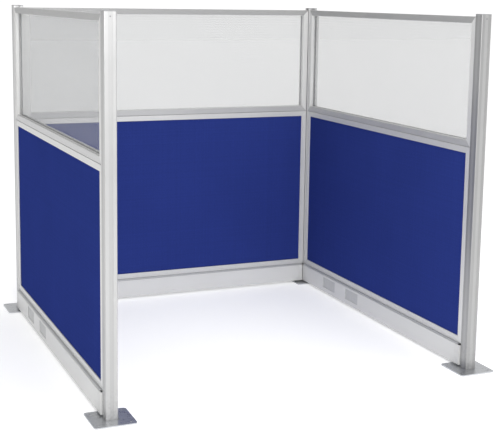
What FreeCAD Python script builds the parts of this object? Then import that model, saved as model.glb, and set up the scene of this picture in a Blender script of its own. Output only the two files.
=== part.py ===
"""Three-sided office partition: four slotted posts on foot plates, three framed panels between them.

Frame: origin on the floor at the centre of the footprint, +Z up, open side towards -Y, back panel at +Y.
Each panel is modelled lying along X with its middle at X = 0, its outer face towards +Y, its inner face
towards -Y, and is then turned and moved to its place between two posts. Sizes are in millimetres.
"""
import FreeCAD, Part
import os
from math import cos, radians, sin

# ---- layout
pitch_x = 1920.0  # between post centres across the open side
pitch_y = 1920.0  # between post centres from front to back
wall_height = 1830.0  # floor to the top of the post caps
top_drop = 14.0  # the panel's top lies this far below the top of the caps
panel_bottom = 128.0  # underside of the fabric module
fabric_module_height = 1030.0

# ---- posts
post_width = 58.0
post_corner = 5.0
post_wall = 2.5
slot_mouth = 20.0
slot_chamber = 30.0
slot_web = 1.0  # metal between two neighbouring slots at their nearest corners
core_wall = 2.5
cap_thick = 3.0
cap_plug_depth = 22.0
cap_plug_wall = 2.0
slip = 0.2  # clearance each side of a piece that slides or plugs into another

# ---- feet
plate_size = 200.0
plate_thick = 6.0
plate_corner = 15.0
anchor_spacing = 150.0
anchor_radius = 5.5
foot_bolt_radius = 5.0
foot_bolt_head = 10.0
foot_bolt_length = 38.0
foot_head_recess = 0.3
foot_plug_height = 45.0
thread_slip = 0.05

# ---- trim strips that close the free slots
trim_recess = 0.4
trim_face = 2.0
trim_leg = 1.6
trim_leg_depth = 6.0
trim_barb = 1.2
trim_barb_height = 1.5

# ---- panel frames
frame_depth = 50.0  # across the panel
frame_face = 32.0  # width of the face of a rail or stile
frame_wall = 1.8
frame_corner = 1.5
chamber_height = 12.0  # hollow on the outer side of a frame member, for the corner keys
post_gap = 4.0  # between a post and the stile beside it
module_gap = 2.0  # between the fabric module and the window module
mitre_gap = 0.2
key_leg = 60.0

# ---- what the frames hold
core_thick = 34.0
cloth_thick = 1.5
cloth_slip = 1.0
edge_slip = 0.5
pane_thick = 16.0
pane_skin = 1.0
pane_rib = 0.8
flute_pitch = 16.0
seal_wall = 1.3
seal_stand = 2.0  # how far the seal shows past the frame

# ---- connectors and screws
connector_width = 30.0
connector_head = 3.5
screw_radius = 2.4
screw_head = 4.6
screw_reach = 6.0  # past the wall it is driven into
screw_end = 120.0  # first and last screw from the ends of a module
module_strip_width = 36.0

# ---- raceway under each panel
raceway_bottom = 14.0
raceway_half = 38.0  # panel centre plane to the face of a cover
cover_thick = 2.0
cover_edge = 1.5
cover_lip = 5.0  # the cover's lower edge turns in by this much past its wall
spine_flange = 4.0
spine_web = 3.0
tray_thick = 2.5
lip_slip = 0.5  # under the tray
stop_slip = 0.4  # tray edge to the inside of a closed cover
bead_radius = 2.2
bead_slip = 0.2
bead_inset = 5.0  # bead centre in from the face of the cover
neck_thick = 1.4
socket_wall = 1.6
mouth_in = 25.0  # degrees of socket opening on the inner side of straight down
mouth_out = 42.0  # degrees on the outer side, which lets the cover swing out
end_reach = 32.0  # the end piece runs this much further from the post centre than a raceway's half width
end_gap = 0.5
corner_gap = 3.0  # between the side walls of two raceways that meet at an inner corner
spine_back = 4.0  # the spine stops this much further from the post than those side walls
raceway_screw_row = 12.0
raceway_screw_count = 4

# ---- outlet openings in the covers of the side panels
outlet_width = 160.0
outlet_height = 66.0
outlet_bottom = 42.0
outlet_from_back = (420.0, 720.0)  # back post centre to the middle of each opening
blank_thick = 1.5
blank_rim = 4.0
blank_depth = 1.5  # rim height, so the face lies this far behind the cover's wall
blank_rib = 1.2
blank_rib_count = 3

# ---- worked out from the sizes above
post_half = post_width / 2
post_top = wall_height - cap_thick
slot_floor = slot_chamber / 2 + slot_web  # post centre to the bottom of a slot
core_half = slot_floor - core_wall
panel_top = wall_height - top_drop
fabric_top = panel_bottom + fabric_module_height
window_bottom = fabric_top + module_gap
groove_floor = frame_wall + chamber_height + frame_wall
core_groove = core_thick / 2 + cloth_thick + cloth_slip
pane_groove = pane_thick / 2 + seal_wall + slip
seal_bite = frame_face - groove_floor  # the seal stands on the floor of the frame's groove
pane_bite = seal_bite - seal_wall
corner_notch = raceway_half + corner_gap  # post centre to where an inner corner's side wall stops
spine_end = corner_notch + spine_back  # post centre to the end of the spine
end_inner = raceway_half + end_reach  # post centre to where the cover begins
tray_bottom = raceway_bottom + cover_thick + lip_slip
bead_height = panel_bottom - spine_flange - lip_slip
bead_place = raceway_half - bead_inset
socket_radius = bead_radius + bead_slip + socket_wall
cover_top = bead_height - socket_radius - lip_slip

up = FreeCAD.Vector(0, 0, 1)
centre = FreeCAD.Vector(0, 0, 0)


# ---- helpers
def box(x0, x1, y0, y1, z0, z1):
    """A block between two corners."""
    return Part.makeBox(x1 - x0, y1 - y0, z1 - z0, FreeCAD.Vector(x0, y0, z0))


def sheet_xy(points):
    """A flat face at Z = 0 with the given corners."""
    corners = [FreeCAD.Vector(x, y, 0) for x, y in points]
    return Part.Face(Part.makePolygon(corners + corners[:1]))


def rectangle(x0, x1, y0, y1):
    """A flat rectangle at Z = 0."""
    return sheet_xy([(x0, y0), (x1, y0), (x1, y1), (x0, y1)])


def rounded(width, depth, radius):
    """A flat rectangle at Z = 0 about the origin, with round corners."""
    block = Part.makeBox(width, depth, 1, FreeCAD.Vector(-width / 2, -depth / 2, 0))
    upright = [e for e in block.Edges if abs(e.BoundBox.ZLength - 1) < 0.01]
    block = block.makeFillet(radius, upright)
    return [f for f in block.Faces if abs(f.CenterOfMass.z) < 1e-6][0]


def prism(section, height, base=0.0):
    """A flat section at Z = 0, of one face or several that touch, pulled up from the height base."""
    first, *rest = [face.extrude(FreeCAD.Vector(0, 0, height)) for face in section.Faces]
    solid = first.fuse(rest).removeSplitter() if rest else first
    solid = solid.Solids[0]
    solid.translate(FreeCAD.Vector(0, 0, base))
    return solid


def along_x(face, length):
    """A section drawn in X (across the panel) and Y (height), run along X with its middle at X = 0."""
    solid = prism(face, length, -length / 2)
    solid.rotate(centre, FreeCAD.Vector(1, 1, 1), 120)
    return solid


def turned(shape, angle, x=0.0, y=0.0, z=0.0, axis=up):
    """A copy turned about an axis through the origin and then moved."""
    made = shape.copy()
    made.rotate(centre, axis, angle)
    made.translate(FreeCAD.Vector(x, y, z))
    return made


def group(solids):
    """Separate solids kept together in one node."""
    return Part.makeCompound(solids)


# ---- posts and feet
def post_corners():
    """Name and centre of each post."""
    return {
        "front_left": (-pitch_x / 2, -pitch_y / 2),
        "front_right": (pitch_x / 2, -pitch_y / 2),
        "back_left": (-pitch_x / 2, pitch_y / 2),
        "back_right": (pitch_x / 2, pitch_y / 2),
    }


def post():
    """Square extrusion with a slot in each face, a square core and four hollow corners."""
    section = rounded(post_width, post_width, post_corner)
    section = section.cut(rectangle(-core_half, core_half, -core_half, core_half))
    lip_inside = post_half - post_wall
    mouth = rectangle(-slot_mouth / 2, slot_mouth / 2, slot_floor, post_half + 1)
    chamber = rectangle(-slot_chamber / 2, slot_chamber / 2, slot_floor, lip_inside)
    pocket_start = slot_chamber / 2 + post_wall
    pocket = rectangle(pocket_start, lip_inside, pocket_start, lip_inside)
    for quarter in range(4):
        for hollow in (mouth, chamber, pocket):
            section = section.cut(turned(hollow, 90 * quarter))
    return prism(section, post_top - plate_thick, plate_thick)


def post_cap():
    """Flat cap with a hollow plug that goes into the core of the post."""
    cap = prism(rounded(post_width, post_width, post_corner), cap_thick, post_top)
    plug_half = core_half - slip
    hollow_half = plug_half - cap_plug_wall
    low = post_top - cap_plug_depth
    plug = box(-plug_half, plug_half, -plug_half, plug_half, low, post_top)
    hollow = box(-hollow_half, hollow_half, -hollow_half, hollow_half, low - 1, post_top)
    return cap.fuse(plug.cut(hollow)).removeSplitter()


def trim_strip():
    """Snap-in strip for the slot on the post's +Y face, with two barbed legs."""
    half = slot_mouth / 2 - slip
    outside = post_half - trim_recess
    back = outside - trim_face
    barb_top = post_half - post_wall - slip
    section = rectangle(-half, half, back, outside)
    for side in (-1, 1):
        legs = sorted((side * (half - trim_leg), side * half))
        barbs = sorted((side * half, side * (half + trim_barb)))
        section = section.fuse(rectangle(legs[0], legs[1], outside - trim_leg_depth, back))
        section = section.fuse(rectangle(barbs[0], barbs[1], barb_top - trim_barb_height, barb_top))
    return prism(section.removeSplitter(), post_top - plate_thick, plate_thick)


def trim_strips():
    """One strip in every slot that holds no panel. Quarter turns count from the +Y face towards -X."""
    free_slots = {
        "front_left": (1, 2, 3),
        "front_right": (1, 2, 3),
        "back_left": (0, 1),
        "back_right": (0, 3),
    }
    strips = []
    for name, (x, y) in post_corners().items():
        strips += [turned(trim_strip(), 90 * quarter, x, y) for quarter in free_slots[name]]
    return group(strips)


def foot_plate():
    """Flat plate with four anchor holes and a countersunk hole for the foot bolt."""
    plate = prism(rounded(plate_size, plate_size, plate_corner), plate_thick)
    for x in (-anchor_spacing / 2, anchor_spacing / 2):
        for y in (-anchor_spacing / 2, anchor_spacing / 2):
            hole = Part.makeCylinder(anchor_radius, plate_thick + 2, FreeCAD.Vector(x, y, -1))
            plate = plate.cut(hole)
    cone_height = foot_bolt_head - foot_bolt_radius
    wide = foot_bolt_head + slip
    sink = Part.makeCone(wide, foot_bolt_radius + slip, cone_height, centre)
    shaft = Part.makeCylinder(foot_bolt_radius + slip, plate_thick + 2, FreeCAD.Vector(0, 0, -1))
    mouth = Part.makeCylinder(wide, 1, FreeCAD.Vector(0, 0, -1))
    return plate.cut(sink.fuse(shaft).fuse(mouth))


def foot_bolt():
    """Countersunk bolt that goes up through the plate into the foot plug."""
    cone_height = foot_bolt_head - foot_bolt_radius
    low = FreeCAD.Vector(0, 0, foot_head_recess)
    head = Part.makeCone(foot_bolt_head - foot_head_recess, foot_bolt_radius, cone_height - foot_head_recess, low)
    shank = Part.makeCylinder(foot_bolt_radius, foot_bolt_length - foot_head_recess, low)
    return head.fuse(shank).removeSplitter()


def foot_plug():
    """Tapped block pressed into the bottom of the post's core."""
    half = core_half - slip
    block = box(-half, half, -half, half, plate_thick, plate_thick + foot_plug_height)
    hole = Part.makeCylinder(foot_bolt_radius + thread_slip, foot_bolt_length + 2, centre)
    return block.cut(hole)


def at_each_post(shape):
    """The same piece at all four posts."""
    return group([turned(shape, 0, x, y) for x, y in post_corners().values()])


# ---- panel frames
def member(length, groove_half):
    """Frame member along X, mitred at both ends: outer side at Z = 0, open groove at Z = frame_face."""
    section = rounded(frame_depth, frame_face, frame_corner)
    section.translate(FreeCAD.Vector(0, frame_face / 2, 0))
    side = frame_depth / 2 - frame_wall
    section = section.cut(rectangle(-side, side, frame_wall, frame_wall + chamber_height))
    section = section.cut(rectangle(-groove_half, groove_half, groove_floor, frame_face + 1))
    cheek = groove_half + frame_wall
    if side - cheek > frame_wall / 2:
        section = section.cut(rectangle(cheek, side, groove_floor, frame_face - frame_wall))
        section = section.cut(rectangle(-side, -cheek, groove_floor, frame_face - frame_wall))
    bar = along_x(section, length)
    half = length / 2 - mitre_gap / 2
    wedge = [(-half, 0), (half, 0), (half - frame_face, frame_face), (frame_face - half, frame_face)]
    corners = [FreeCAD.Vector(x, -frame_depth, z) for x, z in wedge]
    keep = Part.Face(Part.makePolygon(corners + corners[:1]))
    return bar.common(keep.extrude(FreeCAD.Vector(0, 2 * frame_depth, 0))).Solids[0]


def frame_width(length):
    """Outside width of a panel frame between posts whose centres are length apart."""
    return length - post_width - 2 * post_gap


def rails(length, low, high, groove_half, screw_places=()):
    """Bottom and top rail of a frame that stands between two heights; the bottom one is drilled."""
    bar = member(frame_width(length), groove_half)
    y_axis = FreeCAD.Vector(0, 1, 0)
    bottom = turned(bar, 0, z=low)
    for x, y in screw_places:
        start = FreeCAD.Vector(x, y, low - groove_floor / 2)
        bottom = bottom.cut(Part.makeCylinder(screw_radius + thread_slip, groove_floor, start))
    return group([bottom.Solids[0], turned(bar, 180, z=high, axis=y_axis)])


def stiles(length, low, high, groove_half):
    """The two stiles of a frame, drilled for the screws of the post connectors."""
    bar = member(high - low, groove_half)
    y_axis = FreeCAD.Vector(0, 1, 0)
    edge = frame_width(length) / 2
    middle = (low + high) / 2
    pair = [
        turned(bar, 90, -edge, 0, middle, y_axis),
        turned(bar, -90, edge, 0, middle, y_axis),
    ]
    x_axis = FreeCAD.Vector(1, 0, 0)
    drilled = []
    for side, stile in zip((-1, 1), pair):
        for height in screw_heights():
            start = FreeCAD.Vector(side * edge - groove_floor / 2, 0, height)
            drill = Part.makeCylinder(screw_radius + thread_slip, groove_floor, start, x_axis)
            stile = stile.cut(drill)
        drilled.append(stile.Solids[0])
    return group(drilled)


def corner_keys(length, low, high):
    """Angle keys crimped inside the four corners of a frame."""
    edge = frame_width(length) / 2
    inset = frame_wall + slip
    thick = chamber_height - 2 * slip
    half = frame_depth / 2 - frame_wall - slip
    keys = []
    for x_side in (-1, 1):
        for z_side, level in ((1, low), (-1, high)):
            xs = sorted((x_side * (edge - inset), x_side * (edge - inset - key_leg)))
            zs = sorted((level + z_side * inset, level + z_side * (inset + thick)))
            flat = box(xs[0], xs[1], -half, half, zs[0], zs[1])
            xs = sorted((x_side * (edge - inset), x_side * (edge - inset - thick)))
            zs = sorted((level + z_side * inset, level + z_side * (inset + key_leg)))
            keys.append(flat.fuse(box(xs[0], xs[1], -half, half, zs[0], zs[1])).removeSplitter())
    return keys


# ---- what the frames hold
def core_board(length):
    """Stiff board in the fabric module."""
    half = frame_width(length) / 2 - groove_floor - edge_slip
    low = panel_bottom + groove_floor
    high = fabric_top - groove_floor - edge_slip
    return box(-half, half, -core_thick / 2, core_thick / 2, low, high)


def fabric_skin(length, side):
    """Cloth over one face of the core board; side is 1 for the outer face and -1 for the inner one."""
    half = frame_width(length) / 2 - groove_floor - edge_slip
    low = panel_bottom + groove_floor
    high = fabric_top - groove_floor - edge_slip
    ys = sorted((side * core_thick / 2, side * (core_thick / 2 + cloth_thick)))
    return box(-half, half, ys[0], ys[1], low, high)


def pane_edges(length, bite):
    """Half width, bottom and top of something that goes this deep into the window frame."""
    half = frame_width(length) / 2 - frame_face + bite
    return half, window_bottom + frame_face - bite, panel_top - frame_face + bite


def window_pane(length):
    """Twin-wall sheet: two skins joined by level ribs, with the flutes running from post to post."""
    half, low, high = pane_edges(length, pane_bite)
    section = rectangle(-pane_thick / 2, pane_thick / 2, low, high)
    hollow = pane_thick / 2 - pane_skin
    count = int((high - low - pane_rib) // flute_pitch)
    first = (low + high - count * flute_pitch) / 2
    for index in range(count):
        floor = first + index * flute_pitch + pane_rib / 2
        cell = rectangle(-hollow, hollow, floor, floor + flute_pitch - pane_rib)
        section = section.cut(cell)
    return along_x(section, 2 * half)


def window_seal(length):
    """Channel seal that wraps the edge of the pane all round."""
    half, low, high = pane_edges(length, seal_bite)
    inner_half, inner_low, inner_high = pane_edges(length, -seal_stand)
    thick = pane_thick / 2 + slip / 2 + seal_wall
    ring = box(-half, half, -thick, thick, low, high)
    ring = ring.cut(box(-inner_half, inner_half, -thick, thick, inner_low, inner_high))
    pane_half, pane_low, pane_high = pane_edges(length, pane_bite)
    inside = pane_thick / 2 + slip / 2
    return ring.cut(box(-pane_half, pane_half, -inside, inside, pane_low, pane_high))


def module_strip(length):
    """Flat strip between the fabric module and the window module."""
    half = frame_width(length) / 2 - mitre_gap
    wide = module_strip_width / 2
    return box(-half, half, -wide, wide, fabric_top, window_bottom)


# ---- connectors and screws
def screw_heights():
    """Heights of the screws through a post connector: three in the fabric module, two in the window."""
    middle = (panel_bottom + fabric_top) / 2
    lower = [panel_bottom + screw_end, middle, fabric_top - screw_end]
    return lower + [window_bottom + screw_end, panel_top - screw_end]


def connector_rim(length):
    """Distance from the panel's middle to the face of each post."""
    return length / 2 - post_half


def post_connectors(length):
    """T-shaped strips screwed to the stiles, whose heads slide down the slots of the posts."""
    face = connector_rim(length)
    half = connector_width / 2
    web = slot_mouth / 2 - slip
    head = slot_chamber / 2 - slip
    neck = face + post_wall + slip
    strips = []
    for side in (-1, 1):
        strip = box(face - post_gap, face, -half, half, panel_bottom, panel_top)
        strip = strip.fuse(box(face, neck, -web, web, panel_bottom, panel_top))
        strip = strip.fuse(box(neck, neck + connector_head, -head, head, panel_bottom, panel_top))
        strip = strip.removeSplitter()
        for height in screw_heights():
            strip = strip.cut(connector_screw(length, height, slip))
        strips.append(strip if side > 0 else turned(strip, 180))
    return group(strips)


def screw(reach, slack=0.0):
    """Countersunk screw along -X from its head at X = 0."""
    back = FreeCAD.Vector(-1, 0, 0)
    cone = screw_head - screw_radius
    head = Part.makeCone(screw_head + slack, screw_radius + slack, cone, centre, back)
    return head.fuse(Part.makeCylinder(screw_radius + slack, reach, centre, back)).removeSplitter()


def connector_screw(length, height, slack=0.0):
    """Screw through the +X connector into the stile, or the hole for it when slack is given."""
    head_face = connector_rim(length) + post_wall + slip + connector_head
    reach = post_wall + slip + connector_head + post_gap + frame_wall + screw_reach
    return turned(screw(reach, slack), 0, head_face, 0, height)


def raceway_screw_places(length):
    """Middle line places of the screws that hold the spine to the fabric module's bottom rail."""
    span = length - 2 * end_inner - 2 * screw_end
    steps = raceway_screw_count - 1
    lengthwise = [span * (index / steps - 0.5) for index in range(raceway_screw_count)]
    return [(x, y) for x in lengthwise for y in (-raceway_screw_row, raceway_screw_row)]


def raceway_screw(x, y, slack=0.0):
    """Upright screw from the underside of the spine's flange into the rail above."""
    y_axis = FreeCAD.Vector(0, 1, 0)
    reach = spine_flange + frame_wall + screw_reach
    return turned(screw(reach, slack), 90, x, y, panel_bottom - spine_flange, y_axis)


def panel_screws(length):
    """All the screws of one panel."""
    one_end = [connector_screw(length, height) for height in screw_heights()]
    other_end = [turned(one, 180) for one in one_end]
    return one_end + other_end + [raceway_screw(x, y) for x, y in raceway_screw_places(length)]


# ---- raceway
def raceway_spine(length):
    """Flange under the panel with a bead socket along each edge, a middle web and a bottom tray."""
    flange = bead_place - bead_radius - bead_slip - socket_wall / 2
    web = spine_web / 2
    tray = raceway_half - cover_thick - stop_slip
    section = rectangle(-flange, flange, panel_bottom - spine_flange, panel_bottom)
    section = section.fuse(rectangle(-web, web, tray_bottom, panel_bottom))
    section = section.fuse(rectangle(-tray, tray, tray_bottom, tray_bottom + tray_thick))
    for side in (-1, 1):
        section = section.fuse(socket_ring(side))
    hollow = bead_radius + bead_slip
    for side in (-1, 1):
        middle = FreeCAD.Vector(side * bead_place, bead_height, 0)
        section = section.cut(Part.Face(Part.Wire(Part.makeCircle(hollow, middle))))
        section = section.cut(socket_mouth(side))
    spine = along_x(section.removeSplitter(), length - 2 * spine_end)
    for x, y in raceway_screw_places(length):
        spine = spine.cut(raceway_screw(x, y, slip))
    return spine.Solids[0]


def socket_ring(side):
    """Outline of a bead socket before it is hollowed."""
    middle = FreeCAD.Vector(side * bead_place, bead_height, 0)
    return Part.Face(Part.Wire(Part.makeCircle(socket_radius, middle)))


def socket_mouth(side):
    """Wedge that opens a socket downwards for the cover's neck."""
    reach = 2 * socket_radius
    inner, outer = radians(mouth_in), radians(mouth_out)
    points = [
        (side * bead_place, bead_height),
        (side * (bead_place - reach * sin(inner)), bead_height - reach * cos(inner)),
        (side * (bead_place + reach * sin(outer)), bead_height - reach * cos(outer)),
    ]
    return sheet_xy(points)


def cover_section():
    """Section of an outer cover: wall, top return with its neck and bead, and lower lip."""
    inside = raceway_half - cover_thick
    neck = neck_thick / 2
    wall = rectangle(inside, raceway_half, raceway_bottom, cover_top)
    roof = rectangle(bead_place - neck, raceway_half, cover_top - cover_thick, cover_top)
    lip = rectangle(inside - cover_lip, raceway_half, raceway_bottom, raceway_bottom + cover_thick)
    stem = rectangle(bead_place - neck, bead_place + neck, cover_top - cover_thick, bead_height)
    middle = FreeCAD.Vector(bead_place, bead_height, 0)
    bead = Part.Face(Part.Wire(Part.makeCircle(bead_radius, middle)))
    return wall.fuse(roof).fuse(lip).fuse(stem).fuse(bead).removeSplitter()


def raceway_cover(length, side, outlets=()):
    """Cover that hangs on its bead; side is 1 for the outer cover and -1 for the inner one."""
    width = length - 2 * end_inner - 2 * end_gap
    cover = along_x(cover_section(), width)
    edges = [
        e
        for e in cover.Edges
        if e.BoundBox.XLength > width / 2
        and abs(e.BoundBox.YMin - raceway_half) < 0.01
        and min(abs(e.BoundBox.ZMin - raceway_bottom), abs(e.BoundBox.ZMin - cover_top)) < 0.01
    ]
    cover = cover.makeFillet(cover_edge, edges)
    high = outlet_bottom + outlet_height
    for x in outlets:
        opening = box(x - outlet_width / 2, x + outlet_width / 2, bead_place, raceway_half + 1, outlet_bottom, high)
        cover = cover.cut(opening)
    if side < 0:
        cover = cover.mirror(centre, FreeCAD.Vector(0, 1, 0))
    return cover.Solids[0]


def outlet_blank(x, side):
    """Knock-out plate behind an outlet opening, with a rim on the cover's wall and upright ribs."""
    back = raceway_half - cover_thick
    face = back - blank_depth
    half = outlet_width / 2 + blank_rim
    low, high = outlet_bottom - blank_rim, outlet_bottom + outlet_height + blank_rim
    plate = box(x - half, x + half, face - blank_thick, back, low, high)
    pocket_high = outlet_bottom + outlet_height
    pocket = box(x - outlet_width / 2, x + outlet_width / 2, face, back, outlet_bottom, pocket_high)
    plate = plate.cut(pocket)
    step = outlet_width / (blank_rib_count + 1)
    for index in range(blank_rib_count):
        middle = x - outlet_width / 2 + (index + 1) * step
        rib = box(middle - blank_rib / 2, middle + blank_rib / 2, face, face + blank_rib / 2, outlet_bottom, pocket_high)
        plate = plate.fuse(rib)
    plate = plate.removeSplitter()
    return plate if side > 0 else plate.mirror(centre, FreeCAD.Vector(0, 1, 0))


def raceway_end(length, notched):
    """End piece at the +X end: two side walls with roofs, joined under the tray, closed at the post.

    A notched one gives way on its inner side, where the raceway of the next panel comes in.
    """
    inside = raceway_half - cover_thick
    start = length / 2 - end_inner
    stop = connector_rim(length) - end_gap
    piece = box(start, stop, -raceway_half, raceway_half, raceway_bottom, cover_top)
    piece = piece.cut(box(start - 1, stop + 1, -inside, inside, tray_bottom, cover_top + 1))
    roof_inside = bead_place - neck_thick / 2
    for side in (-1, 1):
        ys = sorted((side * roof_inside, side * inside))
        piece = piece.fuse(box(start, stop, ys[0], ys[1], cover_top - cover_thick, cover_top))
    piece = piece.fuse(
        box(stop - cover_thick, stop, -raceway_half, raceway_half, raceway_bottom, cover_top)
    )
    piece = piece.removeSplitter()
    edges = [
        e
        for e in piece.Edges
        if e.BoundBox.XLength > (stop - start) / 2
        and abs(abs(e.CenterOfMass.y) - raceway_half) < 0.01
    ]
    piece = piece.makeFillet(cover_edge, edges)
    if notched:
        clear = post_half - end_gap
        piece = piece.cut(box(length / 2 - corner_notch, stop + 1, -raceway_half - 1, -clear, 0, cover_top + 1))
    return piece.Solids[0]


def raceway_ends(length, notched_left, notched_right):
    """End pieces at -X and +X."""
    y_axis_mirror = FreeCAD.Vector(1, 0, 0)
    left = raceway_end(length, notched_left).mirror(centre, y_axis_mirror)
    return group([left, raceway_end(length, notched_right)])


# ---- panels
def panel_pieces(length, notched_left, notched_right, outlets):
    """Every piece of one panel, by the last part of its node's name."""
    pieces = {
        "fabric_frame_rails": rails(
            length, panel_bottom, fabric_top, core_groove, raceway_screw_places(length)
        ),
        "fabric_frame_stiles": stiles(length, panel_bottom, fabric_top, core_groove),
        "core_board": core_board(length),
        "fabric_outer": fabric_skin(length, 1),
        "fabric_inner": fabric_skin(length, -1),
        "window_rails": rails(length, window_bottom, panel_top, pane_groove),
        "window_stiles": stiles(length, window_bottom, panel_top, pane_groove),
        "window_pane": window_pane(length),
        "post_connectors": post_connectors(length),
        "raceway_spine": raceway_spine(length),
        "raceway_ends": raceway_ends(length, notched_left, notched_right),
        "raceway_cover_outer": raceway_cover(length, 1, outlets),
        "raceway_cover_inner": raceway_cover(length, -1, outlets),
    }
    for name, side in (("outer", 1), ("inner", -1)):
        if outlets:
            pieces["outlet_blanks_" + name] = group([outlet_blank(x, side) for x in outlets])
    return pieces


def panel_shared(length):
    """Small pieces of one panel that go into nodes shared by all panels."""
    keys = corner_keys(length, panel_bottom, fabric_top) + corner_keys(length, window_bottom, panel_top)
    return {
        "corner_keys": keys,
        "window_seals": [window_seal(length)],
        "module_strips": [module_strip(length)],
        "frame_screws": panel_screws(length),
    }


def panel_layout():
    """Name, turn, centre, length, notched ends and outlet places of each panel."""
    outlets = [pitch_y / 2 - distance for distance in outlet_from_back]
    return [
        ("back", 0, (0, pitch_y / 2), pitch_x, True, True, []),
        ("left", 90, (-pitch_x / 2, 0), pitch_y, False, True, outlets),
        ("right", -90, (pitch_x / 2, 0), pitch_y, True, False, [-x for x in outlets]),
    ]


def build():
    """All nodes by name."""
    nodes = {}
    for name, (x, y) in post_corners().items():
        nodes[name + "_post"] = turned(post(), 0, x, y)
    nodes["post_caps"] = at_each_post(post_cap())
    nodes["post_trim_strips"] = trim_strips()
    nodes["foot_plates"] = at_each_post(foot_plate())
    nodes["foot_bolts"] = at_each_post(foot_bolt())
    nodes["foot_plugs"] = at_each_post(foot_plug())
    shared = {}
    for name, angle, (x, y), length, notched_left, notched_right, outlets in panel_layout():
        for ending, shape in panel_pieces(length, notched_left, notched_right, outlets).items():
            nodes[name + "_" + ending] = turned(shape, angle, x, y)
        for ending, solids in panel_shared(length).items():
            shared.setdefault(ending, []).extend(turned(one, angle, x, y) for one in solids)
    for ending, solids in shared.items():
        nodes[ending] = group(solids)
    return nodes


os.makedirs("parts", exist_ok=True)
for node, shape in build().items():
    shape.exportStep("parts/" + node + ".step")
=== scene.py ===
"""The looks of a three-sided office partition wall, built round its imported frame.

Four square aluminium posts on steel foot plates carry a back panel and two side panels. Each panel has
a cloth-covered module below, a twin-wall window module above, and a raceway for cables at the floor.
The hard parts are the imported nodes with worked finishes. The six stretched cloth faces and the screws
in the post heads are made here.
"""

from __future__ import annotations

import logging
import math
from dataclasses import dataclass
from dataclasses import field
from enum import Enum

import sys

import bpy
from mathutils import Matrix
from mathutils import Vector


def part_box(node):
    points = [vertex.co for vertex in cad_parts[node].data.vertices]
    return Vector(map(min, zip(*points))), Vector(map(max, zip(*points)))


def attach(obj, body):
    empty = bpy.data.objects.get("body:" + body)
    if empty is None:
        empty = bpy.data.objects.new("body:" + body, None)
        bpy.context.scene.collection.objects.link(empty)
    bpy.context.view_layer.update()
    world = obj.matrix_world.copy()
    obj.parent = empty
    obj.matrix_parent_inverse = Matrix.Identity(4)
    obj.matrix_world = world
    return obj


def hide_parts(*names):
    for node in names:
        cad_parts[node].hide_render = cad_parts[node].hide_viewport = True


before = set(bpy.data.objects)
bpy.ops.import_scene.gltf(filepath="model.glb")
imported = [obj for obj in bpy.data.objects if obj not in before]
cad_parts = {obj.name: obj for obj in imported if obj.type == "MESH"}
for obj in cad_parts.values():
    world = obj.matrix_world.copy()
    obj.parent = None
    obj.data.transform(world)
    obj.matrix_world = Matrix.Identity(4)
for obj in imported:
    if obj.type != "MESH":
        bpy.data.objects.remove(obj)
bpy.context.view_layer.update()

LOG = logging.getLogger("partition_wall")

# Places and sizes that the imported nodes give, in metres.
POST_LOW, POST_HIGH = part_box("front_right_post")
POST_CENTRE = (POST_LOW.x + POST_HIGH.x) * 0.5
POST_HALF = (POST_HIGH.x - POST_LOW.x) * 0.5
PLATE_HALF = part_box("foot_plates")[1].x - POST_CENTRE
STRIP_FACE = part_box("post_trim_strips")[1].y
WINDOW_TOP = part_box("back_window_rails")[1].z
PANE_LOW, PANE_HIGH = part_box("back_window_pane")
PANE_HALF = (PANE_HIGH.y - PANE_LOW.y) * 0.5

Colour = tuple[float, float, float]


# ---------------------------------------------------------------------------------------------------
# Named choices
# ---------------------------------------------------------------------------------------------------


class Run(Enum):
    """The way a drawn or brushed part's lines run."""

    ALONG_X = (1.0, 0.0, 0.0)
    ALONG_Y = (0.0, 1.0, 0.0)
    UPRIGHT = (0.0, 0.0, 1.0)


class Side(Enum):
    """The three panels, by the names their nodes start with."""

    BACK = "back"
    LEFT = "left"
    RIGHT = "right"

    @property
    def run(self) -> Run:
        """The way the panel's long parts run."""
        return Run.ALONG_X if self is Side.BACK else Run.ALONG_Y


class Face(Enum):
    """The two faces of a panel, by the names their nodes end with."""

    OUTER = "outer"
    INNER = "inner"


# ---------------------------------------------------------------------------------------------------
# Node trees as Python expressions
# ---------------------------------------------------------------------------------------------------


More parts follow.
